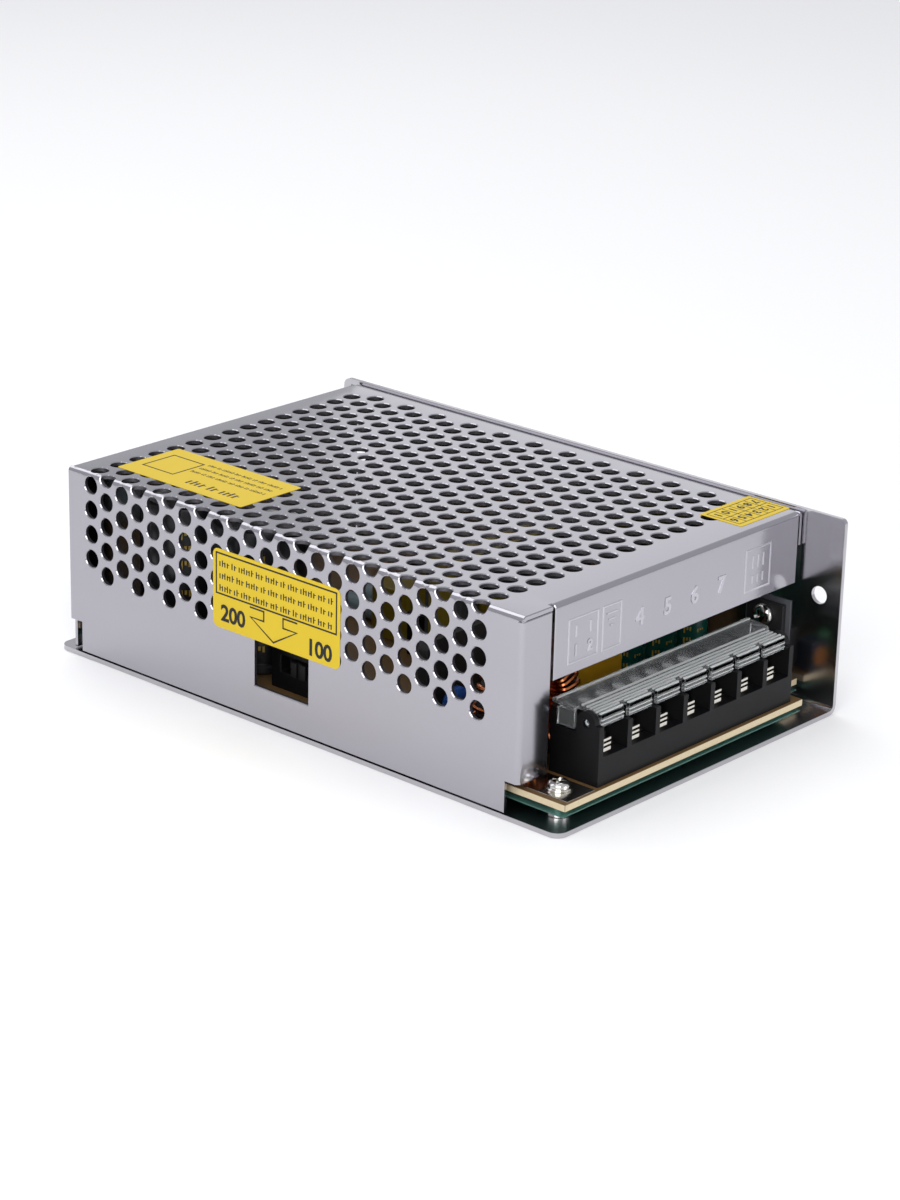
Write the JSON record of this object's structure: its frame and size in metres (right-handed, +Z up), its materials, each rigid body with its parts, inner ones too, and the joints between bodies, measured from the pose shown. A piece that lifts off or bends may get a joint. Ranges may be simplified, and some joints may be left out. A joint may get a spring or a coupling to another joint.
{
  "type": "led power supply",
  "caption": "Enclosed switching power supply with a perforated metal cover, screw terminals under a clear flip lid and a mains range selector.",
  "frame": {"origin": "centre of the footprint, on the underside of the floor", "axes": "the terminal end faces -Y, the length runs along Y, +Z is up"},
  "size_m": [0.0998, 0.155, 0.047],
  "materials": {
    "zinc_sheet": "bright galvanised sheet",
    "cover_sheet": "satin galvanised sheet",
    "screw_steel": "bright nickel plate",
    "tinned": "bright tin",
    "clamp_steel": "zinc plate",
    "yellow_film": "printed vinyl, satin",
    "clear_film": "clear film",
    "board_laminate": "tan laminate",
    "black_nylon": "moulded, satin",
    "clear_lid": "clear moulded plastic",
    "ferrite": "matt ferrite",
    "copper_wire": "enamelled copper",
    "fuse_glass": "clear",
    "dark_coating": "dipped coating",
    "blue_coating": "dipped coating",
    "black_epoxy": "moulded epoxy",
    "red_knob": "moulded",
    "black_sleeve": "shrunk sleeve",
    "yellow_box": "moulded box",
    "green_sleeve": "shrunk sleeve",
    "yellow_tape": "polyester tape",
    "grey_coating": "coating",
    "pad_silicone": "silicone pad",
    "blue_box": "moulded",
    "white_rotor": "moulded",
    "green_lens": "tinted lens"
  },
  "bodies": {
    "root": {"chassis": "zinc_sheet", "cover": "cover_sheet", "cover_screws": "screw_steel", "standoffs": "screw_steel", "board_screws": "screw_steel", "device_screws": "screw_steel", "earth_pad": "tinned", "terminal_contacts": "tinned", "fuse_caps": "tinned", "fuse_clips": "tinned", "side_sticker": "yellow_film", "back_sticker": "yellow_film", "front_sticker": "yellow_film", "insulating_film": "clear_film", "circuit_board": "board_laminate", "terminal_block": "black_nylon", "choke_core": "ferrite", "choke_windings": "copper_wire", "fuse_glass": "fuse_glass", "thermistor": "dark_coating", "y_capacitors": "blue_coating", "bridge_rectifier": "black_epoxy", "selector_body": "black_nylon", "bulk_capacitors": "black_sleeve", "x_capacitor": "yellow_box", "output_capacitors": "green_sleeve", "transformer_core": "ferrite", "transformer_bobbin": "black_nylon", "transformer_winding": "yellow_tape", "transformer_tape": "yellow_tape", "output_choke_core": "ferrite", "output_choke_winding": "copper_wire", "driver_transformer": "yellow_tape", "controller_chip": "black_epoxy", "small_capacitors": "black_sleeve", "resistors": "grey_coating", "power_devices": "black_epoxy", "device_pads": "pad_silicone", "trimmer_body": "blue_box", "indicator_lamp": "green_lens"},
    "lid": {"terminal_lid": "clear_lid"},
    "selector": {"selector_slider": "red_knob"},
    "trimmer": {"trimmer_rotor": "white_rotor"},
    "clamp_1": {"terminal_clamp_1": "clamp_steel"},
    "screw_1": {"terminal_screw_1": "screw_steel"},
    "clamp_2": {"terminal_clamp_2": "clamp_steel"},
    "screw_2": {"terminal_screw_2": "screw_steel"},
    "clamp_3": {"terminal_clamp_3": "clamp_steel"},
    "screw_3": {"terminal_screw_3": "screw_steel"},
    "clamp_4": {"terminal_clamp_4": "clamp_steel"},
    "screw_4": {"terminal_screw_4": "screw_steel"},
    "clamp_5": {"terminal_clamp_5": "clamp_steel"},
    "screw_5": {"terminal_screw_5": "screw_steel"},
    "clamp_6": {"terminal_clamp_6": "clamp_steel"},
    "screw_6": {"terminal_screw_6": "screw_steel"},
    "clamp_7": {"terminal_clamp_7": "clamp_steel"},
    "screw_7": {"terminal_screw_7": "screw_steel"}
  },
  "joints": [
    {"name": "lid_hinge", "type": "hinge", "parent": "root", "child": "lid", "pos_m": [0, -0.0717, 0.0204], "axis": [1, 0, 0], "range_deg": [0, 90]},
    {"name": "selector_slide", "type": "slide", "parent": "root", "child": "selector", "axis": [0, 1, 0], "range_m": [0, 0.004]},
    {"name": "trimmer_turn", "type": "hinge", "parent": "root", "child": "trimmer", "pos_m": [0.0403, -0.068, 0.0103], "axis": [0, -1, 0], "range_deg": [-135, 135]},
    {"name": "clamp_1_lift", "type": "slide", "parent": "root", "child": "clamp_1", "axis": [0, 0, 1], "range_m": [0, 0.003]},
    {"name": "screw_1_turn", "type": "hinge", "parent": "clamp_1", "child": "screw_1", "pos_m": [-0.0288, -0.0668, 0.0133], "axis": [0, 0, 1], "range_deg": [0, 1560]},
    {"name": "clamp_2_lift", "type": "slide", "parent": "root", "child": "clamp_2", "axis": [0, 0, 1], "range_m": [0, 0.003]},
    {"name": "screw_2_turn", "type": "hinge", "parent": "clamp_2", "child": "screw_2", "pos_m": [-0.0193, -0.0668, 0.0133], "axis": [0, 0, 1], "range_deg": [0, 1560]},
    {"name": "clamp_3_lift", "type": "slide", "parent": "root", "child": "clamp_3", "axis": [0, 0, 1], "range_m": [0, 0.003]},
    {"name": "screw_3_turn", "type": "hinge", "parent": "clamp_3", "child": "screw_3", "pos_m": [-0.0098, -0.0668, 0.0133], "axis": [0, 0, 1], "range_deg": [0, 1560]},
    {"name": "clamp_4_lift", "type": "slide", "parent": "root", "child": "clamp_4", "axis": [0, 0, 1], "range_m": [0, 0.003]},
    {"name": "screw_4_turn", "type": "hinge", "parent": "clamp_4", "child": "screw_4", "pos_m": [-0.0003, -0.0668, 0.0133], "axis": [0, 0, 1], "range_deg": [0, 1560]},
    {"name": "clamp_5_lift", "type": "slide", "parent": "root", "child": "clamp_5", "axis": [0, 0, 1], "range_m": [0, 0.003]},
    {"name": "screw_5_turn", "type": "hinge", "parent": "clamp_5", "child": "screw_5", "pos_m": [0.0092, -0.0668, 0.0133], "axis": [0, 0, 1], "range_deg": [0, 1560]},
    {"name": "clamp_6_lift", "type": "slide", "parent": "root", "child": "clamp_6", "axis": [0, 0, 1], "range_m": [0, 0.003]},
    {"name": "screw_6_turn", "type": "hinge", "parent": "clamp_6", "child": "screw_6", "pos_m": [0.0187, -0.0668, 0.0133], "axis": [0, 0, 1], "range_deg": [0, 1560]},
    {"name": "clamp_7_lift", "type": "slide", "parent": "root", "child": "clamp_7", "axis": [0, 0, 1], "range_m": [0, 0.003]},
    {"name": "screw_7_turn", "type": "hinge", "parent": "clamp_7", "child": "screw_7", "pos_m": [0.0282, -0.0668, 0.0133], "axis": [0, 0, 1], "range_deg": [0, 1560]}
  ],
  "couplings": [
    {"joint": "screw_1_turn", "follows": "clamp_1_lift", "rad_per_m": 8976},
    {"joint": "screw_2_turn", "follows": "clamp_2_lift", "rad_per_m": 8976},
    {"joint": "screw_3_turn", "follows": "clamp_3_lift", "rad_per_m": 8976},
    {"joint": "screw_4_turn", "follows": "clamp_4_lift", "rad_per_m": 8976},
    {"joint": "screw_5_turn", "follows": "clamp_5_lift", "rad_per_m": 8976},
    {"joint": "screw_6_turn", "follows": "clamp_6_lift", "rad_per_m": 8976},
    {"joint": "screw_7_turn", "follows": "clamp_7_lift", "rad_per_m": 8976}
  ]
}
